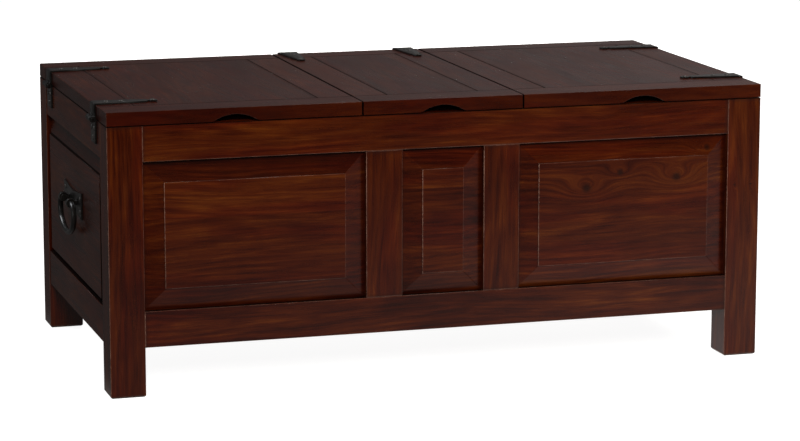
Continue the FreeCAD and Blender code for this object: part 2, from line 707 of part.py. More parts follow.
leaves = []
pins = []
screws = []
rivets = {"left_lid": [], "middle_lid": [], "right_lid": []}
for hinge, (centre, turn) in HINGES.items():
    strap(hinge, centre, turn)
    leaves.append(hinge_leaf(hinge, centre, turn))
    pins.append(hinge_pin(hinge, centre, turn))
    outward = Rotation(UP, turn) * ALONG_MINUS_X
    face = f"({AXIS_OFFSET} + rail_setback - iron_thickness)"
    for number, (across, drop) in enumerate(SCREWS):
        at = turned(centre, (face, across), turn)
        screws.append(domed(f"{hinge}_screw_{number}", (*at, f"{AXIS_HEIGHT} - {drop}"), outward))
    for number, reach in enumerate(RIVETS):
        at = turned(centre, (f"{AXIS_OFFSET} + {reach}", "0"), turn)
        top = f"{AXIS_HEIGHT} + {STRAP_RISE} + iron_thickness"
        lid_name = hinge.rsplit("_", 1)[0]
        rivets[lid_name].append(domed(f"{hinge}_rivet_{number}", (*at, top), UPRIGHT))
group("hinge_leaves", leaves)
group("hinge_pins", pins)
group("leaf_screws", screws)
for lid_name, pieces in rivets.items():
    group(f"{lid_name}_rivets", pieces)

# Screw holes in the top rails behind the leaves, in each rail's own frame.
for side in ("left", "right", "back"):
    spread = "back_hinge_spread" if side == "back" else "hinge_spread"
    rail_body = rail_bodies[f"{side}_top_rail"]
    depth = "(shank_length - iron_thickness)"
    for end in (-1, 1):
        for number, (across, drop) in enumerate(SCREWS):
            rod(rail_body, CUT_ROUND, f"{side}_screw_hole_{end + 2}_{number}",
                (f"{end} * {spread} + {across}", "0", f"top_rail_height + lid_rest_gap / 2 - {drop}"),
                ALONG_Y, "shank_radius + shank_play", depth)


# ---------------------------------------------------------------- side handles

# Each handle in its own frame: -Y outwards, the origin on the panel's field between the two eyes.
FIELD_FACE = "(body_length / 2 - rail_setback - field_setback)"
HANDLES = {"left": ((f"-{FIELD_FACE}", "0"), -90), "right": ((FIELD_FACE, "0"), 90)}


def handle_plate(name, centre, turn):
    """A flat plate, waisted in the middle, with holes for the eyes and the nails."""
    body = new_body(name)
    outline = sketch_on(body, "XZ_Plane", f"{name}_outline")
    polygon(outline, [
        ("-plate_length / 2", "-plate_height / 2"),
        ("0", "plate_notch - plate_height / 2"),
        ("plate_length / 2", "-plate_height / 2"),
        ("plate_length / 2", "plate_height / 2"),
        ("0", "plate_height / 2 - plate_notch"),
        ("-plate_length / 2", "plate_height / 2"),
    ])
    pad(body, outline, f"{name}_plate", "iron_thickness")
    for end in (-1, 1):
        rod(body, CUT_ROUND, f"{name}_eye_hole_{end + 2}",
            (f"{end} * eye_spread", "-2 * iron_thickness", "0"), ALONG_Y,
            "eye_shank_radius + shank_play", "3 * iron_thickness")
        for rise in (-1, 1):
            rod(body, CUT_ROUND, f"{name}_nail_hole_{end + 2}_{rise + 2}",
                (f"{end} * nail_across", "-2 * iron_thickness", f"{rise} * nail_rise"), ALONG_Y,
                "shank_radius + shank_play", "3 * iron_thickness")
    place(body, (*centre, "handle_height"), Rotation(UP, turn))


def handle_eye(name, centre, turn, end):
    """An eye bolt: a ring on a neck, a shank through plate and panel, its end peened over inside."""
    quarter = Rotation(UP, turn)
    across = f"{end} * eye_spread"
    through = f"(iron_thickness + {PANEL_THICKNESS})"

    def at(offset):
        return (*turned(centre, offset, turn), "handle_height")

    ring = solid("Part::Cylinder", f"{name}_ring", at((f"{across} - eye_width / 2", "-eye_reach")),
                 quarter * ALONG_X, Radius="eye_radius", Height="eye_width")
    neck = solid("Part::Cylinder", f"{name}_neck", at((across, "-eye_reach")),
                 quarter * ALONG_Y, Radius="eye_neck_radius", Height="eye_reach - iron_thickness")
    shank = solid("Part::Cylinder", f"{name}_shank", at((across, "-iron_thickness")),
                  quarter * ALONG_Y, Radius="eye_shank_radius", Height=through)
    peen = solid("Part::Cylinder", f"{name}_peen", at((across, PANEL_THICKNESS)),
                 quarter * ALONG_Y, Radius="peen_radius", Height="peen_height")
    bore = solid("Part::Cylinder", f"{name}_bore", at((f"{across} - eye_width", "-eye_reach")),
                 quarter * ALONG_X, Radius="bail_radius + bail_play", Height="2 * eye_width")
    eye = doc.addObject("Part::Cut", name)
    eye.Base = fused(f"{name}_blank", ring, neck, shank, peen)
    eye.Tool = bore
    return eye


def bail(name, centre, turn):
    """A round rod bent to an oval, its two ends turned in through the eyes."""
    spine = doc.addObject("Sketcher::SketchObject", f"{name}_line")
    shoulder = SIZES["bail_shoulder"]
    corner = SIZES["bail_corner"]
    bottom = SIZES["bail_bottom"]
    end = SIZES["bail_end"]
    turn_in = SIZES["bail_turn_in"]
    widest = turn_in + shoulder
    corner_middle = widest - corner
    lean = math.asin(corner_middle / (bottom - corner))
    bottom_middle = -shoulder + (bottom - corner) * math.cos(lean)
    down = -math.pi / 2
    arcs = [
        (Vector(0, bottom_middle, 0), bottom, down - lean, down + lean),
        (Vector(corner_middle, -shoulder, 0), corner, down + lean, 0),
        (Vector(turn_in, -shoulder, 0), shoulder, 0, math.pi / 2),
        (Vector(-corner_middle, -shoulder, 0), corner, -math.pi, down - lean),
        (Vector(-turn_in, -shoulder, 0), shoulder, math.pi / 2, math.pi),
    ]
    for middle, radius, start, stop in arcs:
        spine.addGeometry(Part.ArcOfCircle(Part.Circle(middle, UP, radius), start, stop))
    spine.addGeometry(Part.LineSegment(Vector(turn_in, 0, 0), Vector(end, 0, 0)))
    spine.addGeometry(Part.LineSegment(Vector(-turn_in, 0, 0), Vector(-end, 0, 0)))
    for first, first_end, second, second_end in (
        (0, 2, 1, 1), (1, 2, 2, 1), (2, 2, 5, 1), (0, 1, 3, 2), (3, 1, 4, 2), (4, 1, 6, 1),
    ):
        spine.addConstraint(Sketcher.Constraint("Tangent", first, first_end, second, second_end))
    spine.addConstraint(Sketcher.Constraint("PointOnObject", 5, 1, -1))
    spine.addConstraint(Sketcher.Constraint("PointOnObject", 5, 2, -1))
    spine.addConstraint(Sketcher.Constraint("PointOnObject", 6, 1, -1))
    spine.addConstraint(Sketcher.Constraint("PointOnObject", 6, 2, -1))
    spine.addConstraint(Sketcher.Constraint("PointOnObject", 0, 3, -2))
    dimension(spine, "bottom", "Radius", (0,), "bail_bottom")
    dimension(spine, "right_corner", "Radius", (1,), "bail_corner")
    dimension(spine, "left_corner", "Radius", (3,), "bail_corner")
    dimension(spine, "right_shoulder", "Radius", (2,), "bail_shoulder")
    dimension(spine, "left_shoulder", "Radius", (4,), "bail_shoulder")
    dimension(spine, "right_turn_in", "DistanceX", (-1, 1, 5, 1), "bail_turn_in")
    dimension(spine, "right_end", "DistanceX", (-1, 1, 5, 2), "bail_end")
    dimension(spine, "left_turn_in", "DistanceX", (-1, 1, 6, 1), "-bail_turn_in")
    dimension(spine, "left_end", "DistanceX", (-1, 1, 6, 2), "-bail_end")
    spine.addConstraint(Sketcher.Constraint("Horizontal", 1, 3, 2, 3))
    spine.Placement = FreeCAD.Placement(Vector(), ALONG_MINUS_Y)
    section = doc.addObject("Part::Circle", f"{name}_section")
    section.setExpression("Radius", bound("bail_radius"))
    place(section, ("bail_end", "0", "0"), ALONG_X)
    rod_shape = doc.addObject("Part::Sweep", name)
    rod_shape.Label = name
    rod_shape.Sections = [section]
    rod_shape.Spine = (spine, [f"Edge{number}" for number in range(1, 8)])
    rod_shape.Solid = True
    rod_shape.Frenet = False
    rod_shape.Transition = "Right corner"
    pivot = turned(centre, ("0", "-eye_reach"), turn)
    place(rod_shape, (*pivot, "handle_height"), Rotation(UP, turn))
    sub_parts.append(rod_shape)


nails = []
for side, (centre, turn) in HANDLES.items():
    handle_plate(f"{side}_handle_plate", centre, turn)
    group(f"{side}_handle_eyes", [
        handle_eye(f"{side}_handle_eye_{end + 2}", centre, turn, end) for end in (-1, 1)])
    bail(f"{side}_bail", centre, turn)
    outward = Rotation(UP, turn) * ALONG_MINUS_Y
    for end in (-1, 1):
        for rise in (-1, 1):
            at = turned(centre, (f"{end} * nail_across", "-iron_thickness"), turn)
            nails.append(domed(f"{side}_nail_{end + 2}_{rise + 2}",
                               (*at, f"handle_height + {rise} * nail_rise"), outward))
group("plate_nails", nails)


# ---------------------------------------------------------------- check and write

doc.recompute()
for piece in doc.Objects:
    if "Invalid" in piece.State or "Error" in piece.State:
        raise RuntimeError(f"{piece.Name} failed: {piece.State}")
for piece in sub_parts:
    shape = piece.Shape
    if shape.isNull() or not shape.isValid() or not shape.Solids:
        raise RuntimeError(f"{piece.Label} has no valid solid")
os.makedirs("parts", exist_ok=True)
for piece in sub_parts:
    piece.Shape.exportStep(f"parts/{piece.Label}.step")
print(f"{len(sub_parts)} sub-parts written")
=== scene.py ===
"""A low wooden chest with three lids on iron strap hinges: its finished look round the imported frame."""
import json
import math
import random

import bmesh
import bpy
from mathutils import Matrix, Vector


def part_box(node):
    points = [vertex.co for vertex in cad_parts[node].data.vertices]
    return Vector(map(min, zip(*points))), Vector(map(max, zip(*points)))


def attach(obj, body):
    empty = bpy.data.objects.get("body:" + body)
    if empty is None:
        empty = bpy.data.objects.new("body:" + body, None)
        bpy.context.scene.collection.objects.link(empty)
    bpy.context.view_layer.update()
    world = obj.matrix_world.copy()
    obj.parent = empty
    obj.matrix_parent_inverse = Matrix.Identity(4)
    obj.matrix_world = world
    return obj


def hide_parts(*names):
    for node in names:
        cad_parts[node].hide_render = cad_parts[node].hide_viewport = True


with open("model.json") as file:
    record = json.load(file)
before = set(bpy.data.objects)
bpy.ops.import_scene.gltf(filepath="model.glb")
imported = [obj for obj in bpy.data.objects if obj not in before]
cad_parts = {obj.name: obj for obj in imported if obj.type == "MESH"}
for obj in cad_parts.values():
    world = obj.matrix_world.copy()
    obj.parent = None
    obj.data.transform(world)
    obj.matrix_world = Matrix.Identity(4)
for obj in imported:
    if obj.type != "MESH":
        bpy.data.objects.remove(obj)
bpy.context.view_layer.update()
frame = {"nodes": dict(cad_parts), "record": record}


# ---------------------------------------------------------------- viewpoint

# A long lens, a little above the lids and to the left of the chest's middle, so that the front, the
# left end and the top all show.
LOOKING_DOWN = 10.791
LOOKING_RIGHT = 16.626
view = bpy.data.cameras.new("viewpoint")
view.lens = 137.47
view.sensor_width = 36
view.clip_end = 60
viewpoint = bpy.data.objects.new("viewpoint", view)
viewpoint.location = (-1.5873, -5.3696, 1.2903)
viewpoint.rotation_euler = (math.radians(90 - LOOKING_DOWN), 0, math.radians(-LOOKING_RIGHT))
bpy.context.collection.objects.link(viewpoint)
bpy.context.scene.camera = viewpoint


# ---------------------------------------------------------------- legs

# Four square posts of stained hardwood that run from the floor to the lids. Their corners are eased
# with a plane; the lacquer has worn thin along them, and their paler colour is partly a painted highlight.

# The body that each node rides on.
BODY_OF = {node: body for body, members in frame["record"]["behaviour"]["bodies"].items()
           for node in members}
# For each way the grain may run, the axes along it, across it and through the board.
AXES = {"x": (0, 1, 2), "y": (1, 0, 2), "z": (2, 0, 1)}
# Farther out than any piece's edge, so that nothing is drawn there.
IGNORED = 9.0
BOARD_WIDTH = 0.118
# A soft bump is this raised to less and less as it fades.
FADE = 2.718

# The stain from its darkest grain to its palest, with where each colour stands in the figure.
STAIN = (
    (0.12, (0.0085, 0.0009, 0.0001)),
    (0.38, (0.0280, 0.0029, 0.0002)),
    (0.60, (0.0540, 0.0079, 0.0006)),
    (0.90, (0.1120, 0.0255, 0.0022)),
)
REDDENED = (0.95, 0.56, 0.55, 1.0)
DARK_PORE = (0.0060, 0.0014, 0.0006, 1.0)
KNOT_HEART = (0.0085, 0.0018, 0.0008, 1.0)
GATHERED_WAX = (0.0052, 0.0012, 0.0006, 1.0)
# Paler wood on the eased corners: rubbed wear and a painted highlight.
RUBBED_AND_HIGHLIT_WOOD = (0.2600, 0.1500, 0.1150, 1.0)
# Near-black for dusty joints, and for painted shade in gaps, on ledges, in the notch hollows and round
# raised fields.
DUST_AND_SHADE_BLACK = (0.0030, 0.0016, 0.0012, 1.0)

# Edges that turn by less than FLAT degrees are merged, and those that turn by CORNER or more may be
# rounded. Faces that meet past the crease aren't shaded as one.
FLAT = 0.6
CORNER = 8
WOOD_CREASE = 9
IRON_CREASE = 28
# An edge this near a side belongs to it. On the sides that show, all but the shortest edges are
# rounded, and elsewhere only the long ones, by a share of the full width.
NEAR_SIDE = 0.0013
SHORTEST = 0.0011
LONG = 0.012
HIDDEN_SHARE = 0.3

# How much one piece's stain differs from the next, and how much painted shade darkens a panel's upright
# borders.
TONE_SPREAD = 0.08
UPRIGHT_BORDER_DARKER = 0.07


class Value:
    """A shader value. Python's operators on it add Math nodes."""

    def __init__(self, finish, socket):
        self.finish = finish
        self.socket = socket

    def maths(self, operation, first, second=0.0):
        return self.finish.node("ShaderNodeMath", {"operation": operation}, {0: first, 1: second})

    def __add__(self, other):
        return self.maths("ADD", self, other)

    __radd__ = __add__

    def __sub__(self, other):
        return self.maths("SUBTRACT", self, other)

    def __rsub__(self, other):
        return self.maths("SUBTRACT", other, self)

    def __mul__(self, other):
        return self.maths("MULTIPLY", self, other)

    __rmul__ = __mul__

    def __truediv__(self, other):
        return self.maths("DIVIDE", self, other)

    def __rtruediv__(self, other):
        return self.maths("DIVIDE", other, self)

    def __pow__(self, other):
        return self.maths("POWER", self, other)

    def __rpow__(self, other):
        return self.maths("POWER", other, self)

    def least(self, other):
        return self.maths("MINIMUM", self, other)

    def most(self, other):
        return self.maths("MAXIMUM", self, other)

    def clipped(self):
        return self.least(1.0).most(0.0)

    def step(self, low, high):
        """0 below low, 1 above high and smooth between them."""
        return self.finish.node("ShaderNodeMapRange", {"interpolation_type": "SMOOTHSTEP"},
                                {"Value": self, "From Min": low, "From Max": high})

    def sine(self):
        return self.maths("SINE", self)

    def floor(self):
        return self.maths("FLOOR", self)


class Nodes:
    """A node tree that is built up node by node."""

    def __init__(self, tree):
        self.tree = tree
        tree.nodes.clear()

    def node(self, kind, settings, sockets, output=0):
        """A node of any kind: its settings first, then each socket's value or link."""
        node = self.tree.nodes.new(kind)
        for name, setting in settings.items():
            if name == "stops":
                ramp = node.color_ramp.elements
                while len(ramp) < len(setting):
                    ramp.new(0.5)
                for stop, (position, colour) in zip(ramp, setting):
                    stop.position = position
                    stop.color = (*colour, 1.0)
            else:
                setattr(node, name, setting)
        for key, value in sockets.items():
            if isinstance(value, Value):
                self.tree.links.new(value.socket, node.inputs[key])
            else:
                node.inputs[key].default_value = value
        return Value(self, node.outputs[output] if node.outputs else None)

    def stretched(self, vector, scale):
        return self.node("ShaderNodeVectorMath", {"operation": "MULTIPLY"}, {0: vector, 1: scale})

    def shifted(self, vector, offset):
        return self.node("ShaderNodeVectorMath", {"operation": "ADD"}, {0: vector, 1: offset})

    def vector(self, x, y, z):
        return self.node("ShaderNodeCombineXYZ", {}, {0: x, 1: y, 2: z})

    def part(self, vector, number):
        return self.node("ShaderNodeSeparateXYZ", {}, {0: vector}, number)

    def noise(self, vector, scale, detail, roughness=0.5):
        return self.node("ShaderNodeTexNoise", {}, {"Vector": vector, "Scale": scale, "Detail": detail,
                                                    "Roughness": roughness})

    def drawn_out(self, vector, lengthways, crossways, detail, roughness=0.5):
        """Noise with one scale along the grain and another across it."""
        stretched = self.stretched(vector, (lengthways, crossways, crossways))
        return self.noise(stretched, 1.0, detail, roughness)

    def mixed(self, factor, first, second, blend="MIX"):
        return self.node("ShaderNodeMix", {"data_type": "RGBA", "blend_type": blend},
                         {0: factor, 6: first, 7: second}, 2)


class Finish(Nodes):
    """The nodes of a material or a world."""

    def __init__(self, owner):
        owner.use_nodes = True
        super().__init__(owner.node_tree)
        self.owner = owner

    def attribute(self, name, output=2):
        return self.node("ShaderNodeAttribute", {"attribute_name": name}, {}, output)

    def surface(self, shader):
        self.node("ShaderNodeOutputMaterial", {}, {"Surface": shader})
        return self.owner


def stained_timber(name, knots=(), contrast=1.0):
    """Open-grained hardwood under a dark red-brown stain and satin lacquer.

    Each knot is given by its place along and across the piece and its size.
    """
    finish = Finish(bpy.data.materials.new(name))
    grain = finish.attribute("grain", 1)
    board = finish.attribute("board")
    seam = finish.attribute("seam")
    half = finish.attribute("half", 1)
    arris = finish.attribute("arris")
    along, across, through = (finish.part(grain, number) for number in range(3))

    # Each board of a wide panel is its own piece of the log.
    plank = ((across - seam) / BOARD_WIDTH).floor()
    chance = finish.node("ShaderNodeTexWhiteNoise", {"noise_dimensions": "2D"},
                         {"Vector": finish.vector(plank, board * 17.0, 0.0)})
    log = finish.shifted(grain, finish.vector(chance * 7.0, board * 5.0, chance * 3.0))

    # The rings swing round each knot and wander along the board.
    wander = finish.drawn_out(log, 1.7, 6.0, 2.0)
    swirl = (wander - 0.5) * 0.06
    heart = None
    for where, height, size in knots:
        run = (along - where) / (2.2 * size)
        rise = (across - height) / size
        near = FADE ** ((run * run + rise * rise) * -1.0)
        swirl = swirl + near * (1.9 * size)
        core = ((run * run * 4.0 + rise * rise) ** 0.5).step(0.62, 0.12)
        heart = core.most(heart) if heart else core
    bent = finish.vector(along, across + swirl, through * 0.4)
    bent = finish.shifted(bent, finish.vector(chance * 7.0, board * 5.0, chance * 3.0))
    tilt = along * 0.060 + through * 0.5 + 0.030 + chance * 0.06
    flat = across + swirl + (chance - 0.5) * 0.05
    ring = (flat * flat + tilt * tilt) ** 0.5
    ripple = finish.drawn_out(bent, 6.0, 60.0, 2.0)
    rings = (ring * 760.0 + wander * 9.0 + ripple * 11.0).sine() * 0.5 + 0.5

    # Broad bands, streaks, fibres and pores, each finer than the last, and a curl across them.
    broad = finish.drawn_out(bent, 3.4, 15.0, 4.0, 0.55)
    streak = finish.drawn_out(bent, 4.0, 115.0, 4.0, 0.6)
    fibre = finish.drawn_out(bent, 22.0, 620.0, 2.0, 0.6)
    pore = finish.drawn_out(bent, 70.0, 2000.0, 1.0).step(0.62, 0.74)
    curl = finish.drawn_out(log, 30.0, 11.0, 2.0)

    lines = (rings - 0.5) * (broad * 0.22 + 0.02)
    figure = (broad - 0.5) * 0.80 + (streak - 0.5) * 0.85 + (fibre - 0.5) * 0.50 + lines
    figure = figure + (curl - 0.5) * 0.12 + (chance - 0.5) * 0.08 + plank * finish.attribute("lift")
    figure = figure * contrast + 0.52 + finish.attribute("tone")
    colour = finish.node("ShaderNodeValToRGB", {"stops": STAIN}, {0: figure})
    redness = finish.drawn_out(log, 3.2, 17.0, 2.0)
    colour = finish.mixed(redness.step(0.46, 0.62) * 0.8, colour, REDDENED, "MULTIPLY")
    colour = finish.mixed(pore * 0.5, colour, DARK_PORE)
    if knots:
        colour = finish.mixed(heart * 0.8, colour, KNOT_HEART)

    # Stain and wax gather where a piece meets its neighbours. A line round a raised field is painted dark
    # as shade, where its step would cast a shadow.
    room = finish.node("ShaderNodeVectorMath", {"operation": "ABSOLUTE"}, {0: grain})
    room = finish.node("ShaderNodeVectorMath", {"operation": "SUBTRACT"}, {0: half, 1: room})
    rim = finish.part(room, 0).least(finish.part(room, 1)).least(finish.part(room, 2))
    uneven = finish.drawn_out(log, 30.0, 30.0, 2.0)
    gathered = (1.0 - (rim - uneven * 0.006).step(-0.003, 0.006)) * 0.4
    low = finish.attribute("field_low", 1)
    high = finish.attribute("field_high", 1)
    past = (finish.part(low, 0) - along).most(along - finish.part(high, 0))
    past = past.most((finish.part(low, 1) - across).most(across - finish.part(high, 1)))
    field_line_shade = past.step(-0.0010, 0.0002) * past.step(0.0040, 0.0022)
    colour = finish.mixed(gathered, colour, GATHERED_WAX)

    # Along the eased corners the stain is rubbed back to paler wood, which also serves as a painted
    # highlight on the rounded edges.
    scuffs = finish.drawn_out(grain, 55.0, 170.0, 3.0, 0.65)
    rubbed_and_highlit = arris * (0.30 + scuffs.step(0.36, 0.64) * 0.55)
    colour = finish.mixed(rubbed_and_highlit, colour, RUBBED_AND_HIGHLIT_WOOD)

    # The lacquer lies unevenly and has sunk a little into the pores.
    smears = finish.drawn_out(log, 7.0, 16.0, 3.0)
    roughness = 0.28 + (smears - 0.5) * 0.16 + pore * 0.12 + (streak - 0.5) * 0.10 + gathered * 0.25
    height = fibre * 0.06 + streak * 0.30 - pore * 0.10 + broad * 0.6
    bump = finish.node("ShaderNodeBump", {}, {"Strength": 0.35, "Distance": 0.0006, "Height": height})
    lacquered = finish.node("ShaderNodeBsdfPrincipled", {}, {
        "Base Color": colour,
        "Roughness": roughness,
        "Normal": bump,
        "IOR": 1.45,
        "Specular IOR Level": 0.45,
        "Coat Weight": 0.08,
        "Coat Roughness": 0.22,
    })

    # Old dust and wax fill the tight joints. The same near-black is painted shade in open gaps, on ledges,
    # in the notch hollows and in a line round a raised field.
    dust_and_shade_coat = finish.node("ShaderNodeBsdfPrincipled", {}, {
        "Base Color": DUST_AND_SHADE_BLACK, "Roughness": 0.9, "Specular IOR Level": 0.05})
    dust_and_shade_share = finish.attribute("grime").most(field_line_shade) * (0.80 + uneven * 0.20)
    return finish.surface(finish.node("ShaderNodeMixShader", {}, {0: dust_and_shade_share, 1: lacquered, 2: dust_and_shade_coat}))


def eased(node, suffix, worn, faces, everywhere=False):
    """A copy of a node with its corners rounded and the new faces marked as arrises.

    worn is how far the rounding reaches and faces are the sides that show, as an axis and a sign.
    With everywhere set, every sharp corner is rounded, as on filed iron.
    """
    shape = bmesh.new()
    shape.from_mesh(frame["nodes"][node].data)
    bmesh.ops.remove_doubles(shape, verts=shape.verts, dist=0.00001)
    bmesh.ops.dissolve_limit(shape, angle_limit=math.radians(FLAT), verts=shape.verts, edges=shape.edges)
    lowest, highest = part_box(node)
    crease = math.radians(IRON_CREASE if everywhere else WOOD_CREASE)
    weight = shape.edges.layers.float.new("bevel_weight_edge")
    for edge in shape.edges:
        turn = edge.calc_face_angle_signed(0.0)
        edge.smooth = abs(turn) < crease
        if turn < math.radians(CORNER):
            continue
        shown = False
        for axis, side in faces:
            number = "xyz".index(axis)
            level = (lowest if side < 0 else highest)[number]
            shown = shown or all(abs(end.co[number] - level) < NEAR_SIDE for end in edge.verts)
        if everywhere and turn > crease:
            edge[weight] = 1.0
        elif shown and edge.calc_length() > SHORTEST:
            edge[weight] = 1.0
        elif edge.calc_length() > LONG:
            edge[weight] = HIDDEN_SHARE
        if edge[weight]:
            edge.smooth = True
    for face in shape.faces:
        face.smooth = True
        face.material_index = 0
    mesh = bpy.data.meshes.new(f"{node}_{suffix}")
    shape.to_mesh(mesh)
    shape.free()

    # The second slot marks the faces that the rounding makes, until they carry an attribute.
    mesh.materials.append(None)
    mesh.materials.append(None)
    rough = bpy.data.objects.new(f"{node}_blank", mesh)
    bpy.context.collection.objects.link(rough)
    rounding = rough.modifiers.new("rounding", "BEVEL")
    rounding.limit_method = "WEIGHT"
    rounding.width = worn
    rounding.segments = 3
    rounding.material = 1
    rounding.harden_normals = everywhere
    rounding.miter_outer = "MITER_ARC"
    final = bpy.data.meshes.new_from_object(rough.evaluated_get(bpy.context.evaluated_depsgraph_get()))
    bpy.data.objects.remove(rough)
    final.name = f"{node}_{suffix}"
    piece = bpy.data.objects.new(f"{node}_{suffix}", final)
    bpy.context.collection.objects.link(piece)
    arris = final.attributes.new("arris", "FLOAT", "FACE")
    made = [face.material_index == 1 for face in final.polygons]
    arris.data.foreach_set("value", [float(is_made) for is_made in made])
    if not everywhere:
        final.polygons.foreach_set("use_smooth", made)
    final.polygons.foreach_set("material_index", [0] * len(final.polygons))
    final.materials.clear()
    return piece


def timber(node, finish, direction, faces, worn=0.0012, tone=0.0, rims="along", seam=0.0, inset=0.0,
           joints=(), gaps=(), rub_and_sheen=1.0, ledges=(), lift=0.0, crown=0.0, field=None):
    """A wooden piece: eased, told how its grain runs and which corners are paled or darkened, and fixed.

    The corners on the sides in faces are paled by the share given for rubbing: rubbed wear, with a
    painted highlight. Corners in joints butt against a neighbour, at a depth below the side where one is
    given, and darken as dark joints. The faces in gaps look into an open joint and are painted black with
    its shade, and so are faces across the axes in ledges. Wax gathers at the ends, or all round where rims
    is "all", and inset is how far the piece runs on inside its neighbours. tone makes the stain paler,
    lift makes each further board paler from the seam on, and crown is painted shade on the border above a
    raised field, with the upright borders shaded a little too. field is two corners of a raised field with
    a line of painted shadow round it.
    """
    piece = eased(node, "wood", worn, faces)
    mesh = piece.data
    lowest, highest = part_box(node)
    middle = (lowest + highest) / 2
    reach = (highest - lowest) / 2

    def beside(point, axis, side, depth=0.0):
        """Whether a point lies at a side of the piece, or at a depth below it."""
        number = "xyz".index(axis)
        return abs((point - middle)[number] * side - reach[number] + depth) < 1.3 * worn

    # The corners that face left and down are paled most: rubbed wear, and a painted highlight where light
    # from the left and below would catch them.
    rubbed_and_highlit = []
    dusty_and_shaded = []
    stain_and_border_shade = []
    chance = random.Random(node).random()
    made = [corner.value for corner in mesh.attributes["arris"].data]
    for face, is_arris in zip(mesh.polygons, made):
        dark_joint_and_shade = is_arris and any(beside(face.center, *joint) for joint in joints)
        shown = is_arris and any(beside(face.center, *side) for side in faces)
        # Faces in an open gap, and faces across the axes in ledges, are painted black with shade.
        close = any(beside(face.center, *gap) for gap in gaps)
        if close or (ledges and any(abs(face.normal[number]) > 0.9 for number in ledges)):
            dark_joint_and_shade = True
        dusty_and_shaded.append(float(dark_joint_and_shade))
        handled_and_lit = max(0.0, -face.normal.x * 0.8 - face.normal.z * 0.5) * 1.1 + 0.22
        rubbed_and_highlit.append(rub_and_sheen * handled_and_lit if shown and not dark_joint_and_shade else 0.0)
        stain_and_shade = tone + (chance - 0.5) * TONE_SPREAD
        # Painted shade: the sloping border above a raised field is darkened by crown, and the upright
        # borders a little.
        if crown and not is_arris:
            level = max(abs(face.normal.x), abs(face.normal.y))
            if 0.1 < face.normal.z < 0.5:
                stain_and_shade += crown
            elif 0.1 < level < 0.985 and abs(face.normal.z) < 0.1:
                stain_and_shade -= UPRIGHT_BORDER_DARKER
        stain_and_border_shade.append(stain_and_shade)
    mesh.attributes["arris"].data.foreach_set("value", rubbed_and_highlit)
    mesh.attributes.new("grime", "FLOAT", "FACE").data.foreach_set("value", dusty_and_shaded)
    mesh.attributes.new("tone", "FLOAT", "FACE").data.foreach_set("value", stain_and_border_shade)

    # Where each point lies along, across and through the board, from its middle. The wider way is across.
    order = AXES[direction]
    if order[1] != 2 and reach[order[1]] < reach[order[2]]:
        order = (order[0], order[2], order[1])
    count = len(mesh.vertices)
    spots = [(vertex.co - middle)[axis] for vertex in mesh.vertices for axis in order]
    ends = [reach[order[0]] - inset, IGNORED, IGNORED]
    if rims == "all":
        ends[1] = reach[order[1]] - inset
    field_low, field_high = field or ((-IGNORED, -IGNORED, 0.0), (IGNORED, IGNORED, 0.0))
    for name, values in (("grain", spots), ("half", ends * count), ("field_low", field_low * count),
                         ("field_high", field_high * count)):
        mesh.attributes.new(name, "FLOAT_VECTOR", "POINT").data.foreach_set("vector", values)
    seam_at = seam if seam else -BOARD_WIDTH / 2
    for name, value in (("board", chance), ("seam", seam_at), ("lift", lift)):
        mesh.attributes.new(name, "FLOAT", "POINT").data.foreach_set("value", [value] * count)
    mesh.materials.append(finish)
    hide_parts(node)
    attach(piece, BODY_OF[node])
    return piece


carcass_timber = stained_timber("stained_timber")
ALL_ROUND = (("x", -1), ("x", 1), ("y", -1), ("y", 1), ("z", -1), ("z", 1))
UNDER_LID = ("z", 1)
# Two pin knots in the front right post.
PIN_KNOTS = ((0.0805, -0.017, 0.0045), (0.0805, 0.015, 0.0045))
post_timber = stained_timber("post_timber", PIN_KNOTS)
for corner in ("front_left", "front_right", "back_right", "back_left"):
    wood = post_timber if corner == "front_right" else carcass_timber
    timber(f"{corner}_leg", wood, "z", ALL_ROUND, worn=0.0016, joints=(UNDER_LID,), tone=0.04)


# ---------------------------------------------------------------- rails and muntins

# Rails tenoned between the legs at the top and the bottom of each side, and upright muntins between
# the long rails. The same timber, with the grain along each piece.
OUTWARD = {"front": ("y", -1), "back": ("y", 1), "left": ("x", -1), "right": ("x", 1)}
# How much the corners on each side are paled, by rubbed wear and a painted highlight that is strongest
# on the front, and how long the tenons and the muntins' stubs are.
RUB_AND_HIGHLIGHT = {"front": 1.0, "back": 0.6, "left": 0.15, "right": 0.15}
TENON = 0.024
STUB = 0.008
for side, outward in OUTWARD.items():
    way = "x" if outward[0] == "y" else "y"
    timber(f"{side}_top_rail", carcass_timber, way, (outward,), tone=0.03, inset=TENON,
           joints=(UNDER_LID,), rub_and_sheen=RUB_AND_HIGHLIGHT[side])
    # The bottom rails' upper ledges are painted with shade.
    timber(f"{side}_bottom_rail", carcass_timber, way, (outward,), tone=-0.05, inset=TENON,
           ledges=(2,), rub_and_sheen=RUB_AND_HIGHLIGHT[side])
    if outward[0] == "y":
        for place in ("left", "right"):
            timber(f"{side}_{place}_muntin", carcass_timber, "z", (outward,), inset=STUB, rub_and_sheen=RUB_AND_HIGHLIGHT[side])


# ---------------------------------------------------------------- raised panels

# Wide boards glued edge to edge, bevelled round a raised field and held loose in the frame's grooves.
# The front's right-hand panel is cut from a knotty board.
TONGUE = 0.008
# Each knot's place along and across the board from its middle, and its size.
KNOTS = (
    (-0.0715, 0.044, 0.019),
    (-0.0075, 0.0705, 0.013),
    (0.1005, 0.057, 0.019),
    (0.1605, 0.1065, 0.012),
)
knotty_timber = stained_timber("knotty_timber", KNOTS)
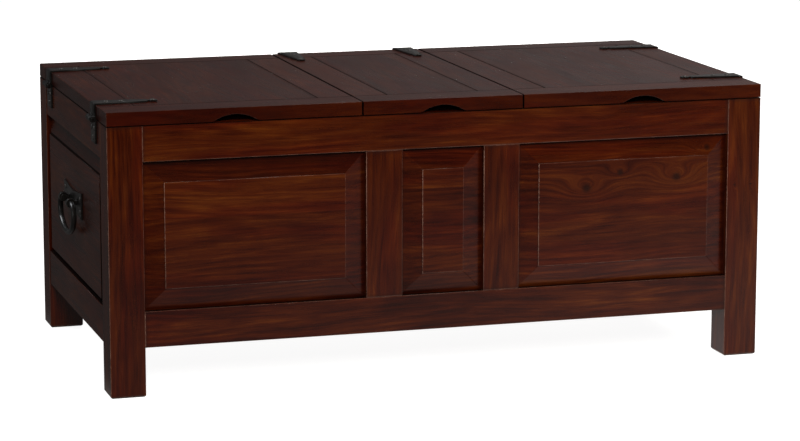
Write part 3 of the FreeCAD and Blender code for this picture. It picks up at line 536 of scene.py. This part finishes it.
# Which panels are of paler wood, how much painted shade darkens the border above each field, and where
# the glue seams lie across the boards.
LIFT = {"front_left_panel": 0.09, "front_right_panel": 0.03}
CROWN = {"left": -0.20, "middle": -0.16, "right": -0.02, "side": -0.12}
SEAMS = {"front_left_panel": 0.0285, "front_right_panel": -0.0135, "back_left_panel": 0.012,
         "back_right_panel": -0.036, "left_side_panel": -0.022, "right_side_panel": 0.018}
# The widths of the end panels' sloping borders. A line of painted shadow runs round these panels' fields.
SIDE_BORDER, TOP_BORDER, BOTTOM_BORDER = 0.020, 0.034, 0.009
for side, outward in OUTWARD.items():
    places = ("left", "middle", "right") if outward[0] == "y" else ("side",)
    for place in places:
        node = f"{side}_{place}_panel"
        field = None
        if place == "side":
            reach = (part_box(node)[1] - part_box(node)[0]) / 2
            wide = reach.y - TONGUE - SIDE_BORDER
            field = ((-wide, BOTTOM_BORDER + TONGUE - reach.z, 0.0),
                     (wide, reach.z - TONGUE - TOP_BORDER, 0.0))
        wood = knotty_timber if node == "front_right_panel" else carcass_timber
        way = "x" if outward[0] == "y" else "y"
        # Painted shade on each panel's level faces, and on the end panels' upright edge faces too.
        ledges = (2,) if outward[0] == "y" else (1, 2)
        paler = LIFT.get(node, 0.0)
        timber(node, wood, way, (outward,), rims="all", seam=SEAMS.get(node, 0.0), inset=TONGUE,
               rub_and_sheen=RUB_AND_HIGHLIGHT[side], ledges=ledges, lift=paler, crown=CROWN[place], tone=paler * 0.5,
               field=field)


# ---------------------------------------------------------------- floor of the chest

# A loose board that lies on four square strips inside the bottom rails.
timber("floor_panel", carcass_timber, "x", (("z", 1),), tone=0.06, seam=0.04)
timber("floor_cleats", carcass_timber, "x", (), tone=0.02)


# ---------------------------------------------------------------- lids

# Three lids, each a frame of two rails and two stiles round a flush panel. The front rails have a
# shallow finger notch in their lower edge, whose hollow is painted dark with shade.
lid_timber = stained_timber("lid_timber", contrast=0.6)
TOP = ("z", 1)
UNDERSIDE = ("z", -1)
# The sides of each lid that face another one, whose faces in the gap are painted dark with shade, and how
# far past a piece's end its wax would start.
INWARD = {"left_lid": (("x", 1),), "middle_lid": (("x", -1), ("x", 1)), "right_lid": (("x", -1),)}
NO_WAX = -0.02
# The notch's hollow, which is painted dark with shade, from the middle of the rail's lower front edge:
# its reach to each side, and where it starts and ends in depth and in height.
NOTCH_REACH = 0.075
NOTCH_DEPTH = (0.0015, 0.028)
NOTCH_HEIGHT = (0.0008, 0.0135)
for lid, gaps in INWARD.items():
    outer = (TOP, ("x", -1), ("x", 1))
    front = timber(f"{lid}_front_rail", lid_timber, "x", (*outer, ("y", -1)), worn=0.0014, inset=NO_WAX,
                   joints=(UNDERSIDE,), gaps=gaps, tone=-0.08, rub_and_sheen=0.4)
    lowest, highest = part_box(f"{lid}_front_rail")
    grime = front.data.attributes["grime"].data
    # Faces in the notch's hollow are painted with shade.
    for face in front.data.polygons:
        spot = face.center - Vector(((lowest.x + highest.x) / 2, lowest.y, lowest.z))
        deep = NOTCH_DEPTH[0] < spot.y < NOTCH_DEPTH[1]
        if abs(spot.x) < NOTCH_REACH and deep and NOTCH_HEIGHT[0] < spot.z < NOTCH_HEIGHT[1]:
            grime[face.index].value = 1.0
    timber(f"{lid}_back_rail", lid_timber, "x", (*outer, ("y", 1)), worn=0.0014, inset=NO_WAX,
           joints=(("y", -1), UNDERSIDE), gaps=gaps, tone=-0.09, rub_and_sheen=0.4)
    for place, side in (("left", -1), ("right", 1)):
        timber(f"{lid}_{place}_stile", lid_timber, "y", (TOP, ("x", side)), inset=STUB,
               joints=(("x", -side), ("y", -1, STUB), ("y", 1, STUB), UNDERSIDE), gaps=gaps,
               tone=-0.09, rub_and_sheen=0.4)
    timber(f"{lid}_panel", lid_timber, "y", (TOP,), rims="all", inset=TONGUE, tone=-0.09,
           joints=(("x", -1, TONGUE), ("x", 1, TONGUE), ("y", -1, TONGUE), ("y", 1, TONGUE)))


# ---------------------------------------------------------------- strap hinges

# Six forged hinges: a tapered strap with a round tip on each lid, folded over the edge to the pin,
# and a leaf on the rail below. Iron with an oiled black-grey skin, rubbed brighter on its edges.
BLACK_SKIN = (0.0048, 0.0042, 0.0038, 1.0)
GREY_SKIN = (0.0120, 0.0108, 0.0098, 1.0)
RUST = (0.0300, 0.0150, 0.0080, 1.0)
WORN_AND_HIGHLIT_IRON = (0.1000, 0.0930, 0.0870, 1.0)


def forged_iron(name):
    """Hammered wrought iron, black with cloudy grey patches and a little rust."""
    finish = Finish(bpy.data.materials.new(name))
    spot = finish.node("ShaderNodeTexCoord", {}, {}, 3)
    arris = finish.attribute("arris")
    cloud = finish.noise(spot, 42.0, 4.0, 0.6)
    grit = finish.noise(spot, 900.0, 2.0, 0.6)
    dents = finish.node("ShaderNodeTexVoronoi", {"feature": "SMOOTH_F1"},
                        {"Vector": spot, "Scale": 135.0, "Smoothness": 0.7})
    scale = finish.noise(spot, 240.0, 3.0, 0.7)
    colour = finish.mixed(cloud.step(0.35, 0.68), BLACK_SKIN, GREY_SKIN)
    rust = scale.step(0.60, 0.78) * cloud.step(0.62, 0.42)
    colour = finish.mixed(rust * 0.3, colour, RUST)
    # Filed edges are rubbed paler; the stud heads are set so bright that they carry a painted highlight.
    bright = (arris * (0.04 + grit * 0.30)).clipped()
    colour = finish.mixed(bright, colour, WORN_AND_HIGHLIT_IRON)
    height = dents + scale * 0.25 + grit * 0.08
    bump = finish.node("ShaderNodeBump", {}, {"Strength": 0.35, "Distance": 0.0006, "Height": height})
    return finish.surface(finish.node("ShaderNodeBsdfPrincipled", {}, {
        "Base Color": colour,
        "Metallic": 0.35 - rust * 0.3,
        "Roughness": 0.40 + (cloud - 0.5) * 0.2 + grit * 0.06,
        "Normal": bump,
        "Coat Weight": 0.7,
        "Coat Roughness": 0.20,
        "Coat IOR": 1.6,
    }))


iron = forged_iron("forged_iron")


def ironwork(node, worn=0.0005):
    """A forged piece with its edges filed round, fixed to its body."""
    piece = eased(node, "iron", worn, (), everywhere=True)
    piece.data.materials.append(iron)
    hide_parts(node)
    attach(piece, BODY_OF[node])


for lid, ends in (("left_lid", ("front", "back")), ("right_lid", ("front", "back")),
                  ("middle_lid", ("left", "right"))):
    for end in ends:
        ironwork(f"{lid}_{end}_strap")
ironwork("hinge_leaves")
ironwork("hinge_pins")


# ---------------------------------------------------------------- side handles

# A waisted iron plate nailed to each end panel, two eyes through it, and an oval bail of round rod.
for side in ("left", "right"):
    ironwork(f"{side}_handle_plate", worn=0.0007)
    ironwork(f"{side}_handle_eyes", worn=0.0007)
    ironwork(f"{side}_bail", worn=0.0009)


# ---------------------------------------------------------------- rivets, screws and nails

# Domed heads closed down by hand on the straps, screws through the leaves and nails through the
# handle plates. Each is a head on a shank, a little dented, set where its hole is.
HEAD_HEIGHT = 0.0018
SHANK_RADIUS = 0.0018
DENT = 0.0005
FULL_TURN = 6.283
SEED = 7
# How bright the heads are made: polished wear and a painted highlight.
HEAD_SHINE = 2.5
tree = bpy.data.node_groups.new("domed_studs", "GeometryNodeTree")
STUD_SIZES = ("Head Radius", "Head Height", "Shank Radius", "Shank Length", "Dent")
GIVEN = ("Seats", *STUD_SIZES, "Iron")
tree.interface.new_socket("Seats", in_out="INPUT", socket_type="NodeSocketGeometry")
for size_name in STUD_SIZES:
    tree.interface.new_socket(size_name, in_out="INPUT", socket_type="NodeSocketFloat")
tree.interface.new_socket("Iron", in_out="INPUT", socket_type="NodeSocketMaterial")
tree.interface.new_socket("Studs", in_out="OUTPUT", socket_type="NodeSocketGeometry")
stud = Nodes(tree)
seats, head_radius, head_height, shank_radius, shank_length, dent, iron_given = (
    stud.node("NodeGroupInput", {}, {}, number) for number in range(len(GIVEN)))
place = stud.node("GeometryNodeInputPosition", {}, {})
ball = stud.node("GeometryNodeMeshUVSphere", {}, {"Segments": 22, "Rings": 12, "Radius": 1.0})
cap = stud.vector(stud.part(place, 0) * head_radius, stud.part(place, 1) * head_radius,
                  stud.part(place, 2).most(0.0) * head_height)
dome = stud.node("GeometryNodeSetPosition", {}, {"Geometry": ball, "Position": cap})
rod = stud.node("GeometryNodeMeshCylinder", {}, {
    "Vertices": 14, "Radius": shank_radius, "Depth": shank_length})
shank = stud.node("GeometryNodeTransform", {}, {
    "Geometry": rod, "Translation": stud.vector(0.0, 0.0, shank_length * -0.5 + 0.0002)})
whole = stud.node("GeometryNodeJoinGeometry", {}, {"Geometry": dome})
tree.links.new(shank.socket, whole.socket.node.inputs[0])
outward = stud.node("GeometryNodeInputNamedAttribute", {"data_type": "FLOAT_VECTOR"},
                    {"Name": "outward"})
stance = stud.node("FunctionNodeAlignRotationToVector", {"axis": "Z"}, {"Vector": outward})
spin = stud.node("FunctionNodeRandomValue", {"data_type": "FLOAT"}, {2: 0.0, 3: FULL_TURN, 8: SEED}, 1)
placed = stud.node("GeometryNodeInstanceOnPoints", {}, {
    "Points": seats, "Instance": whole, "Rotation": stance})
turned = stud.node("GeometryNodeRotateInstances", {}, {
    "Instances": placed, "Rotation": stud.vector(0.0, 0.0, spin)})
solid = stud.node("GeometryNodeRealizeInstances", {}, {"Geometry": turned})
uneven = stud.noise(place, 420.0, 1.0) - 0.5
normal = stud.node("GeometryNodeInputNormal", {}, {})
push = stud.node("ShaderNodeVectorMath", {"operation": "SCALE"}, {0: normal, "Scale": uneven * dent})
dented = stud.node("GeometryNodeSetPosition", {}, {"Geometry": solid, "Offset": push})
smooth = stud.node("GeometryNodeSetShadeSmooth", {}, {"Geometry": dented})
# The heads are stored as bright arrises: polish and a painted highlight.
bright = stud.node("GeometryNodeStoreNamedAttribute", {"data_type": "FLOAT", "domain": "POINT"},
                   {"Geometry": smooth, "Name": "arris", "Value": HEAD_SHINE})
finished = stud.node("GeometryNodeSetMaterial", {}, {"Geometry": bright, "Material": iron_given})
stud.node("NodeGroupOutput", {}, {0: finished})


def loose_parts(node):
    """The corner points of each separate solid of a node, always in the same order."""
    shape = bmesh.new()
    shape.from_mesh(frame["nodes"][node].data)
    bmesh.ops.remove_doubles(shape, verts=shape.verts, dist=0.00001)
    taken = set()
    parts = []
    for start in shape.verts:
        if start in taken:
            continue
        taken.add(start)
        reached = [start]
        part = []
        while reached:
            vertex = reached.pop()
            part.append(vertex.co.copy())
            for edge in vertex.link_edges:
                other = edge.other_vert(vertex)
                if other not in taken:
                    taken.add(other)
                    reached.append(other)
        parts.append(part)
    shape.free()
    return parts


def studs(node):
    """The fasteners of a node, all of one size, each with its head where the plain one's is."""
    seats = []
    directions = []
    for part in loose_parts(node):
        lowest = Vector(min(point[axis] for point in part) for axis in range(3))
        highest = Vector(max(point[axis] for point in part) for axis in range(3))
        size = highest - lowest
        middle = (lowest + highest) / 2
        along = max(range(3), key=lambda axis: size[axis])
        across = (along + 1) % 3
        wide = size[across] * 0.4
        head = [point[along] for point in part if abs(point[across] - middle[across]) > wide]
        side = 1 if sum(head) / len(head) > middle[along] else -1
        seat = middle.copy()
        seat[along] += side * (size[along] / 2 - HEAD_HEIGHT)
        direction = Vector()
        direction[along] = side
        seats.append(seat)
        directions.extend(direction)
    points = bpy.data.meshes.new(f"{node}_seats")
    points.from_pydata(seats, [], [])
    points.attributes.new("outward", "FLOAT_VECTOR", "POINT").data.foreach_set("vector", directions)
    rough = bpy.data.objects.new(f"{node}_seats", points)
    bpy.context.collection.objects.link(rough)
    setting = rough.modifiers.new("setting", "NODES")
    setting.node_group = tree
    sizes = {"Head Radius": size[across] / 2, "Head Height": HEAD_HEIGHT, "Shank Radius": SHANK_RADIUS,
             "Shank Length": size[along] - HEAD_HEIGHT, "Dent": DENT, "Iron": iron}
    for socket in tree.interface.items_tree:
        if socket.name in sizes:
            setting[socket.identifier] = sizes[socket.name]
    final = bpy.data.meshes.new_from_object(rough.evaluated_get(bpy.context.evaluated_depsgraph_get()))
    bpy.data.objects.remove(rough)
    final.name = f"{node}_iron"
    piece = bpy.data.objects.new(f"{node}_iron", final)
    bpy.context.collection.objects.link(piece)
    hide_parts(node)
    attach(piece, BODY_OF[node])


for node in ("left_lid_rivets", "middle_lid_rivets", "right_lid_rivets", "leaf_screws", "plate_nails"):
    studs(node)


# ---------------------------------------------------------------- floor and light

# A plain pale floor that runs out of sight. It is white to look at, but the lacquer and the iron mirror
# it dim, as they do the room. Soft warm lights stand in front, above and behind, and cool ones at the
# left.
BLACK = (0.0, 0.0, 0.0, 1.0)
WHITE = (1.0, 1.0, 1.0, 1.0)
# What the lacquer sees of the floor: a pool of light at the right, a patch behind, a strip past the
# left end, and next to nothing elsewhere.
POOL_X, POOL_Y = 1.7, -0.5
POOL_GLOW = 0.64
PATCH_GLOW = 0.22
STRIP_GLOW = 0.048
LEAST_GLOW = 0.003
bpy.ops.mesh.primitive_plane_add(size=60)
ground = bpy.context.object
ground.name = "ground"
paper = Finish(bpy.data.materials.new("pale_floor"))
seen = paper.node("ShaderNodeLightPath", {}, {}, 0)
white = paper.node("ShaderNodeBsdfDiffuse", {}, {"Color": (0.45, 0.45, 0.45, 1.0)})
glow = paper.node("ShaderNodeEmission", {}, {"Color": WHITE, "Strength": 0.93})
lit = paper.node("ShaderNodeAddShader", {}, {0: white, 1: glow})
spot = paper.node("ShaderNodeTexCoord", {}, {}, 3)
aside = paper.part(spot, 0) - POOL_X
ahead = paper.part(spot, 1) - POOL_Y
pool = FADE ** (aside * aside * -0.23 + ahead * ahead * -0.58) * POOL_GLOW + LEAST_GLOW
patch = paper.part(spot, 1).step(0.8, 1.3) * paper.part(spot, 0).step(-0.5, 0.0)
strip = paper.part(spot, 0).step(-0.605, -0.63)
mirrored = pool.most(patch * PATCH_GLOW) * (1.0 - strip) + strip * STRIP_GLOW
dim = paper.node("ShaderNodeEmission", {}, {
    "Color": paper.mixed(mirrored, BLACK, (1.0, 0.96, 0.94, 1.0)), "Strength": 1.0})
shown = paper.node("ShaderNodeMixShader", {}, {0: seen, 1: dim, 2: lit})
ground.data.materials.append(paper.surface(shown))

studio = Finish(bpy.data.worlds.new("studio"))
bpy.context.scene.world = studio.owner
seen = studio.node("ShaderNodeLightPath", {}, {}, 0)
way = studio.node("ShaderNodeTexCoord", {}, {}, 0)
behind = studio.part(way, 1).step(0.0, 0.6)
rightward = studio.part(way, 0).step(0.04, 0.52)
above = studio.part(way, 2).step(0.15, 0.35)
walls = 0.010 + behind * (0.012 + rightward * 0.195) + (1.0 - behind) * above * 0.08
dark = studio.node("ShaderNodeBackground", {}, {
    "Color": studio.mixed(walls, BLACK, (1.0, 0.96, 0.95, 1.0)), "Strength": 1.0})
clear = studio.node("ShaderNodeBackground", {}, {"Color": WHITE, "Strength": 1.0})
sky = studio.node("ShaderNodeMixShader", {}, {0: seen, 1: dark, 2: clear})
studio.node("ShaderNodeOutputWorld", {}, {"Surface": sky})
bpy.context.scene.view_settings.view_transform = "Standard"


def soft_light(name, place, aim, size, power, colour, mirrored=True):
    """A soft box that is never seen itself, and that shows in reflections only where mirrored is set."""
    lamp = bpy.data.lights.new(name, "AREA")
    lamp.shape = "RECTANGLE"
    lamp.size, lamp.size_y = size
    lamp.energy = power
    lamp.color = colour
    light = bpy.data.objects.new(name, lamp)
    light.location = place
    light.rotation_euler = (Vector(aim) - Vector(place)).to_track_quat("-Z", "Y").to_euler()
    light.visible_camera = False
    light.visible_glossy = mirrored
    bpy.context.collection.objects.link(light)


WARM = (1.0, 0.96, 0.90)
soft_light("front_light", (-1.3, -4.8, 2.6), (0, 0, 0.25), (1.4, 1.4), 188, WARM, False)
soft_light("right_light", (2.8, -3.2, 3.0), (0.2, 0, 0.25), (1.6, 1.6), 108, WARM, False)
soft_light("over_light", (1.3, -0.7, 3.4), (0.3, -0.1, 0.4), (1.6, 1.0), 40, (1.0, 0.98, 0.96))
soft_light("side_light", (-4.4, -1.7, 0.9), (-0.4, 0, 0.3), (1.4, 2.2), 9, (0.96, 0.98, 1.0))
soft_light("back_light", (1.2, 4.6, 1.4), (0, 0, 0.25), (1.8, 1.2), 110, (1.0, 0.97, 0.94), False)
soft_light("rear_light", (-2.4, 1.6, 2.8), (-0.2, 0, 0.3), (1.6, 1.6), 36, (0.93, 0.96, 1.0))
